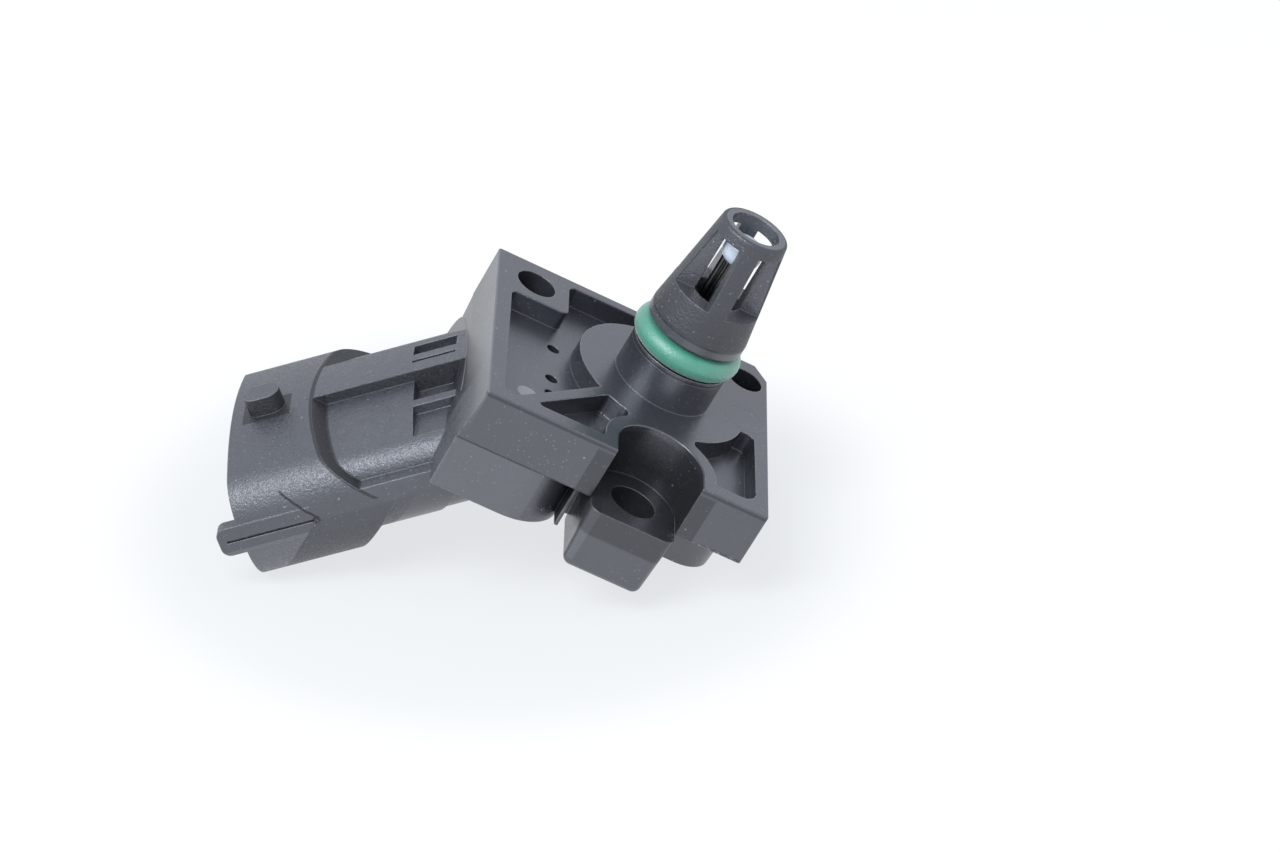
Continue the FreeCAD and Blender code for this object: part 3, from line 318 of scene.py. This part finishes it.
def housing_marks_and_painted_light(tree, place, x, y, z):
    broken = noise(tree, place, 1.7, 3.0)
    torn = noise(tree, place, 4.0, 2.0)
    mark_and_painted_light = {**flange_marks(x, y, z, broken, torn), **connector_marks(x, y, z, broken, torn),
            **painted_light_and_port_line(x, y, z)}
    dark_flash = mark_and_painted_light["flash"] * (broken < 0.5) * 0.8
    pale_flash = mark_and_painted_light["flash"] * (broken > 0.5) * 0.5
    dark = strongest(dark_flash, *(mark_and_painted_light[name] * amount for name, amount in DARK.items()))
    pale = strongest(pale_flash, *(mark_and_painted_light[name] * amount for name, amount in PALE.items()))
    raised = (mark_and_painted_light["top ring"] + mark_and_painted_light["crown ring"] + mark_and_painted_light["panel ring"]) * RAISED
    sunk = (mark_and_painted_light["seam"] + mark_and_painted_light["port line"] + mark_and_painted_light["kink"]) * SUNK
    return dark, pale, raised - sunk


# %% [markdown]
# The edges of a moulding are not sharp. A bevel in the normal lets them pick up a thin
# highlight without touching the solid. Where that bevel turns the normal away, the edge is
# also painted a little paler, a painted highlight, but only if it stands out: an inner corner,
# which the ambient occlusion tells, stays as it is.

# %% Edges and dust
EDGE_ROUND, EDGE_REACH = 0.22, 0.6
EDGE_GLINT_GREY, DUSTY = grey(170, (0, 2, 6)), grey(190, (0, 1, 4))


def painted_edge_glints(tree, place):
    """The bevelled normal, and a mask of the outer edges that get a painted highlight."""
    edge = node(tree, "ShaderNodeBevel", {"samples": 6}, {"Radius": EDGE_ROUND * MM})
    flat = node(tree, "ShaderNodeNewGeometry", output="Normal")
    turned = node(tree, "ShaderNodeVectorMath", {"operation": "DOT_PRODUCT"},
                  {0: edge, 1: flat}, "Value")
    outer = node(tree, "ShaderNodeAmbientOcclusion", {"samples": 8},
                 {"Distance": EDGE_REACH * MM}, "AO")
    patches = noise(tree, place, 1.3, 2.0).between(0.3, 0.5)
    return edge, turned.between(0.985, 0.90) * patches * outer.between(0.80, 0.97)


def dusting(tree, place, more):
    """Fine dust, with more of it where a mask is 1, and a few larger bits of lint."""
    dust = specks(tree, place, 0.6, 0.12) * noise(tree, place, 0.3, 1.0).between(0.36, 0.6)
    lint = specks(tree, place, 2.1, 0.17) * noise(tree, place, 0.7, 1.0).between(0.5, 0.55)
    return (dust * (more * 0.25 + 0.20)).high(lint * 0.36)


# %% [markdown]
# The housing is moulded from black plastic filled with glass fibre. On the real one the skin
# is a dark grey, satin where the mould was smooth and sparkling where it was spark eroded, as
# on the connector and on the nose of the port. Faint streaks follow the way the melt flowed.

# %% The moulded plastic
CHALK_AND_PAINTED_LIGHT, GROOVE_AND_SHADE_GREY, GROOVE_AND_SHADE_MIX = grey(150, (0, 3, 10)), grey(30), 0.65


def mixed(tree, amount, one, two):
    """The shader one where amount is 0, the shader two where it is 1."""
    return node(tree, "ShaderNodeMixShader", {}, {0: amount, 1: one, 2: two})


def moulded_plastic(name, dark, light, flow=1.0, marks_and_painted_light=None):
    material, tree, shader, place, (x, y, z) = finish(
        name, IOR=1.68, Specular_IOR_Level=1.0, Specular_Tint=(0.88, 0.915, 1.0, 1.0))
    along, rise = leaning(x, z)
    eroded = along.between(17.0, 19.0) * (x < -22.2)
    neck = eroded * (z > -21.0) * (rise > 2.8)
    nose = z.between(9.0, 10.0)
    cloud = noise(tree, place, 0.16, 3.0)
    grain = noise(tree, place, 3.1, 3.0, 0.65)
    mottle = noise(tree, place, 0.9, 4.0, 0.6)
    streak = drawn_out(tree, place, (0.05, 0.6, 0.05), 4.0)
    coarse = eroded.high(nose * 0.8).high(0.2)

    shade = (cloud - 0.5) * 0.5 + (streak - 0.5) * (0.4 * flow) + 0.5
    shade = shade + (grain - 0.5) * (coarse * 1.6) + neck * ((mottle - 0.5) * 1.6 + 0.25)
    # Painted shade on the lower nose of the port, and painted light from 14 mm up.
    shade = shade - nose * z.between(15.0, 10.0) * 0.45 + z.between(14.0, 20.0) * 0.5
    colour = blend(tree, shade, dark, light)
    rough = (grain - 0.5) * (coarse * 0.9) + (cloud - 0.5) * 0.08 + coarse * 0.14 + 0.28
    height = grain * (coarse * 0.2) + noise(tree, place, 8.0, 1.0) * 0.006
    if marks_and_painted_light:
        darker, paler, raised = marks_and_painted_light(tree, place, x, y, z)
        # Paler towards a chalky grey at the disc and flash, and as painted light on the left face,
        # below the key and in the cage.
        colour = blend(tree, paler, colour, CHALK_AND_PAINTED_LIGHT)
        height = height + raised
    edge, edge_glint = painted_edge_glints(tree, place)
    # Painted highlight along the outer edges.
    colour = blend(tree, edge_glint * 0.30, colour, EDGE_GLINT_GREY)
    colour = blend(tree, dusting(tree, place, nose), colour, DUSTY)
    bump = relief(tree, height, 0.6, 1.0, Normal=edge)
    feed(tree, shader, Base_Color=colour, Roughness=rough, Normal=bump)
    if marks_and_painted_light:
        # A dark matte shader mixed in by the darker wire: dark seams and steps, and painted shade
        # on the notch, nib, walls and cone.
        groove_and_shade = node(tree, "ShaderNodeBsdfDiffuse", {}, {"Color": GROOVE_AND_SHADE_GREY})
        skin = mixed(tree, darker * GROOVE_AND_SHADE_MIX, Wire(tree, shader.outputs[0]), groove_and_shade)
        tree.links.new(skin.socket, tree.nodes["Material Output"].inputs["Surface"])
    return material


dress(["housing"], moulded_plastic("moulded plastic", grey(28, (0, 2, 7)), grey(50, (0, 2, 8)),
                                   marks_and_painted_light=housing_marks_and_painted_light))
dress(["back_cover"], moulded_plastic("cover plastic", grey(30, (0, 1, 4)), grey(48, (0, 1, 5)),
                                      flow=0.4))

# %% [markdown]
# The seal ring is a green rubber with a soft sheen and a little dust. Its greens are chosen so
# that it comes out as in the photograph.

# %% The seal ring's rubber
def seal_rubber(dark, light, dusty):
    material, tree, shader, place, axes = finish(
        "seal rubber", IOR=1.55, Specular_IOR_Level=1.0, Sheen_Weight=0.42)
    cloud = noise(tree, place, 0.5, 3.0)
    skin = noise(tree, place, 7.0, 2.0)
    dust = specks(tree, place, 1.1, 0.1) * noise(tree, place, 0.6, 1.0).between(0.5, 0.65)
    colour = blend(tree, (cloud - 0.5) * 0.8 + 0.5, dark, light)
    colour = blend(tree, dust * 0.35, colour, dusty)
    feed(tree, shader, Base_Color=colour, Roughness=(skin - 0.5) * 0.2 + 0.36,
         Normal=relief(tree, skin, 0.35, 0.2))
    return material


dress(["o_ring"], seal_rubber(shown(36, 124, 103), shown(56, 148, 127), shown(170, 215, 205)))

# %% [markdown]
# The bead of the temperature sensor is a drop of pale glazed resin on two plain wires. Clouded
# serves all pieces whose colour and gloss only waver a little.

# %% The bead, its leads and the terminals
def clouded(name, dark, light, rough, scale=1.6, detail=4.0, **fixed):
    material, tree, shader, place, axes = finish(name, **fixed)
    cloud = noise(tree, place, scale, detail)
    feed(tree, shader, Base_Color=blend(tree, cloud, dark, light),
         Roughness=(cloud - 0.5) * 0.2 + rough)
    return material


def drawn_metal(name, dark, light, rough=0.3):
    material, tree, shader, place, axes = finish(name, Metallic=1.0)
    scratch = drawn_out(tree, place, (9.0, 9.0, 0.4), 3.0)
    cloud = noise(tree, place, 0.7, 2.0)
    feed(tree, shader, Base_Color=blend(tree, cloud, dark, light),
         Roughness=(scratch - 0.5) * 0.25 + rough, Normal=relief(tree, scratch, 0.25, 0.05))
    return material


dress(["thermistor_bead"],
      clouded("bead glaze", shown(176, 188, 208), shown(212, 223, 237), 0.25, 0.8, 3.0,
              IOR=1.52, Coat_Weight=0.3, Coat_Roughness=0.15))
dress(["thermistor_lead_a", "thermistor_lead_b"],
      drawn_metal("lead wire", grey(62), grey(96)))
dress([f"terminal_{n}" for n in range(1, 5)],
      drawn_metal("tinned terminal", shown(176, 172, 160), shown(206, 203, 194), 0.28))

# %% [markdown]
# What lies inside the chamber is never seen from outside, but each piece still gets its own
# finish, because the model may be opened: the cell, the glass, the silicon, the gel, the
# varnished board, the fired ceramic and the solder.

# %% The circuit board
def varnished_board(dark, light):
    material, tree, shader, place, (x, y, z) = finish("board varnish", IOR=1.5, Coat_Weight=0.4)
    weave = (x * 4.0).math("SINE") * (y * 4.0).math("SINE")
    track = noise(tree, place, 0.5, 1.0).between(0.5, 0.52)
    colour = blend(tree, track * 0.5 + weave * 0.08, dark, light)
    feed(tree, shader, Base_Color=colour, Roughness=weave * 0.05 + 0.35)
    return material


dress(["circuit_board"], varnished_board(shown(14, 74, 44), shown(30, 110, 66)))

# %% The other pieces in the chamber
dress([f"capacitor_{n}" for n in range(1, 4)],
      clouded("fired ceramic", shown(128, 104, 78), shown(160, 134, 104), 0.5))
dress(["cell_case"], clouded("cell plastic", grey(48), grey(66), 0.55))
dress(["cover_adhesive", "cell_adhesive"],
      clouded("cured adhesive", grey(26), grey(40), 0.35))
dress(["glass_pedestal"],
      clouded("pedestal glass", shown(196, 208, 204), shown(222, 230, 228), 0.08,
              Transmission_Weight=0.6))
dress(["sensor_die", "signal_chip"],
      clouded("polished silicon", shown(70, 76, 92), shown(92, 98, 116), 0.12,
              Metallic=0.6))
dress(["bond_wires"], drawn_metal("bond ribbon", grey(196), grey(222), 0.25))
dress(["gel_fill"],
      clouded("clear gel", shown(208, 214, 210), shown(228, 232, 230), 0.06,
              Transmission_Weight=0.85, IOR=1.41))
dress(["solder_joints"], drawn_metal("solder", grey(168), grey(206), 0.22))
print("materials:", len(bpy.data.materials))

# %% [markdown]
# The photograph was taken with a long lens from above the front left. A long lens far away
# keeps the part's parallel edges nearly parallel. The three axes below are the camera's
# right, up and backward directions in the part's own frame.

# %% The camera
CAMERA_AT = np.array([-121.234, -453.773, 233.812]) * MM
RIGHT = np.array([0.88480, 0.00942, 0.46588])
UP = np.array([-0.40489, 0.51041, 0.75865])
BACK = np.array([-0.23064, -0.85988, 0.45542])

lens = bpy.data.cameras.new("camera")
lens.lens, lens.sensor_width, lens.clip_end = 125.04, 36.0, 100.0
camera = bpy.data.objects.new("camera", lens)
scene.collection.objects.link(camera)
turn = np.eye(4)
turn[:3, 0], turn[:3, 1], turn[:3, 2], turn[:3, 3] = RIGHT, UP, BACK, CAMERA_AT
camera.matrix_world = Matrix(turn.tolist())
scene.camera = camera

# %% [markdown]
# The part lies on a white ground, tipped onto the end of its connector and the foot of its
# lug. In the part's own frame the ground is therefore a sloping plane. It is found here from
# the housing itself: of all the flat sides of the hull around it, the one that faces most
# nearly down in the picture is the one that the part rests on.

# %% The ground's slope
TILT = math.radians(30.0)
SMALLEST_SIDE = 20 * MM * MM


def corners_of(name):
    """All corners of a node's mesh as one array, in metres."""
    mesh = NODES[name].data
    flat = np.empty(len(mesh.vertices) * 3, dtype=np.float32)
    mesh.vertices.foreach_get("co", flat)
    return flat.reshape(-1, 3).astype(float)


def resting_plane(points, upward):
    """The hull's side under some points: its match with upward, its normal turned up, its level."""
    hull = bmesh.new()
    for point in np.unique(np.round(points, 5), axis=0):
        hull.verts.new(point)
    bmesh.ops.convex_hull(hull, input=hull.verts)
    sides = []
    for face in hull.faces:
        normal = -np.array(face.normal)
        if face.calc_area() >= SMALLEST_SIDE:
            sides.append((float(normal @ upward), normal,
                          float(normal @ np.array(face.verts[0].co))))
    hull.free()
    return max(sides, key=lambda side: side[0])


MATCH, NORMAL, LEVEL = resting_plane(corners_of("housing"),
                                     math.cos(TILT) * UP + math.sin(TILT) * BACK)
print("ground normal", NORMAL.round(4), "level", round(LEVEL, 5), "match", round(MATCH, 4))

# %% [markdown]
# The ground itself is a large square in that plane.

# %% The ground
GROUND_HALF = 1.6


def on_ground(point):
    """The place on the ground right under a point."""
    return point - NORMAL * (NORMAL @ point - LEVEL)


def ground_mesh(half):
    """A square in the resting plane, under the part's middle."""
    middle = on_ground(np.array([-10.0, 0.0, 0.0]) * MM)
    side = np.cross(NORMAL, [0.0, 1.0, 0.0])
    side /= np.linalg.norm(side)
    other = np.cross(NORMAL, side)
    signs = [(-1, -1), (1, -1), (1, 1), (-1, 1)]
    points = [tuple(middle + half * (a * side + b * other)) for a, b in signs]
    mesh = bpy.data.meshes.new("ground")
    mesh.from_pydata(points, [], [(0, 1, 2, 3)])
    if np.dot(np.array(mesh.polygons[0].normal), NORMAL) < 0:
        mesh.flip_normals()
    return mesh


ground = bpy.data.objects.new("ground", ground_mesh(GROUND_HALF))
scene.collection.objects.link(ground)

# %% [markdown]
# The ground is white paper. The camera sees it partly lit by the lamp, which keeps a pale soft
# shadow where the part stands on it, and partly glowing, which lifts the rest to the white of
# the backdrop. The glow is a little weaker in a round halo about the part: a painted shadow.

# %% The ground's paper
PAPER, PAPER_SEEN = (0.86, 0.865, 0.875, 1.0), (0.97, 0.99, 1.0, 1.0)
GLOW, GLOW_IN_HALO = (0.975, 0.99, 1.0, 1.0), (0.845, 0.865, 0.895, 1.0)
GLOW_SEEN, GLOW_MIRRORED = 0.86, 0.95
HALO_INNER, HALO_OUTER = 36.0, 54.0
HALO_WAY = -BACK - 0.0315 * RIGHT - 0.0205 * UP
HALO_AT = CAMERA_AT + HALO_WAY * (LEVEL - NORMAL @ CAMERA_AT) / (NORMAL @ HALO_WAY)


def emptied(owner):
    """The node tree of a material or world, with nothing in it."""
    owner.use_nodes = True
    owner.node_tree.nodes.clear()
    return owner.node_tree


def ray_kinds(tree):
    """A mask of rays from the camera or through glass, and one of mirrored rays."""
    rays = tree.nodes.new("ShaderNodeLightPath")
    straight, glass, glossy = [Wire(tree, rays.outputs[f"Is {kind} Ray"])
                               for kind in ("Camera", "Transmission", "Glossy")]
    return straight.high(glass), glossy


def finished(tree, kind, surface):
    """Links a shader to the output node of a material or world."""
    tree.links.new(surface.socket, tree.nodes.new(kind).inputs["Surface"])


def white_paper():
    material = bpy.data.materials.new("white ground")
    tree = emptied(material)
    seen, glossy = ray_kinds(tree)
    matte = node(tree, "ShaderNodeBsdfDiffuse", {},
                 {"Color": blend(tree, seen.high(glossy), PAPER, PAPER_SEEN)})
    place = node(tree, "ShaderNodeTexCoord", output="Object")
    from_part = node(tree, "ShaderNodeVectorMath", {"operation": "DISTANCE"},
                     {0: place, 1: tuple(HALO_AT)}, "Value")
    # Painted shadow: the glow the camera sees is dimmer in a round halo about the part.
    halo = from_part.between(HALO_OUTER * MM, HALO_INNER * MM)
    glow, dull = [node(tree, "ShaderNodeEmission", {}, {"Color": colour, "Strength": 1.0})
                  for colour in (GLOW, GLOW_IN_HALO)]
    glow = mixed(tree, halo * seen, glow, dull)
    paper = mixed(tree, (seen * GLOW_SEEN).high(glossy * GLOW_MIRRORED), matte, glow)
    behind = node(tree, "ShaderNodeNewGeometry", output="Backfacing")
    paper = mixed(tree, behind, paper, node(tree, "ShaderNodeBsdfTransparent"))
    finished(tree, "ShaderNodeOutputMaterial", paper)
    return material


ground.data.materials.append(white_paper())
print("the halo's middle in mm:", (HALO_AT / MM).round(1))

# %% [markdown]
# The light is a large soft tent: a pale world all round, and one soft box beside and above the
# camera, which draws the long highlight on the rounded shoulder of the connector. What the
# plastic mirrors of the tent is a cool white.

# %% The soft box
PART_MIDDLE = np.array([-8.0, 0.0, -8.0]) * MM
SOFT_WHITE = (0.97, 0.985, 1.0)


def soft_box(name, toward, distance, wide, tall, power):
    """An area lamp in a direction from the part, given as right, up and back of the camera."""
    lamp = bpy.data.lights.new(name, "AREA")
    lamp.shape, lamp.size, lamp.size_y, lamp.energy = "RECTANGLE", wide, tall, power
    lamp.color = SOFT_WHITE
    thing = bpy.data.objects.new(name, lamp)
    scene.collection.objects.link(thing)
    way = toward[0] * RIGHT + toward[1] * UP + toward[2] * BACK
    thing.location = PART_MIDDLE + way / np.linalg.norm(way) * distance
    thing.rotation_euler = Vector(-way).to_track_quat("-Z", "Y").to_euler()


soft_box("beside the camera", toward=(-0.35, 0.50, 0.88), distance=0.9, wide=0.46, tall=0.48,
         power=6.9)

# %% The tent
TENT, TENT_STRENGTH = (0.96, 0.98, 1.0, 1.0), 0.74
COOL_WHITE, WHITE = (0.91, 0.94, 1.0, 1.0), (1.0, 1.0, 1.0, 1.0)

world = bpy.data.worlds.new("tent")
scene.world = world
tree = emptied(world)
seen, glossy = ray_kinds(tree)
tent, cool, white = [
    node(tree, "ShaderNodeBackground", {}, {"Color": colour, "Strength": strength})
    for colour, strength in ((TENT, TENT_STRENGTH), (COOL_WHITE, 1.0), (WHITE, 1.0))]
finished(tree, "ShaderNodeOutputWorld", mixed(tree, seen, mixed(tree, glossy, tent, cool), white))
scene.view_settings.view_transform = "Standard"
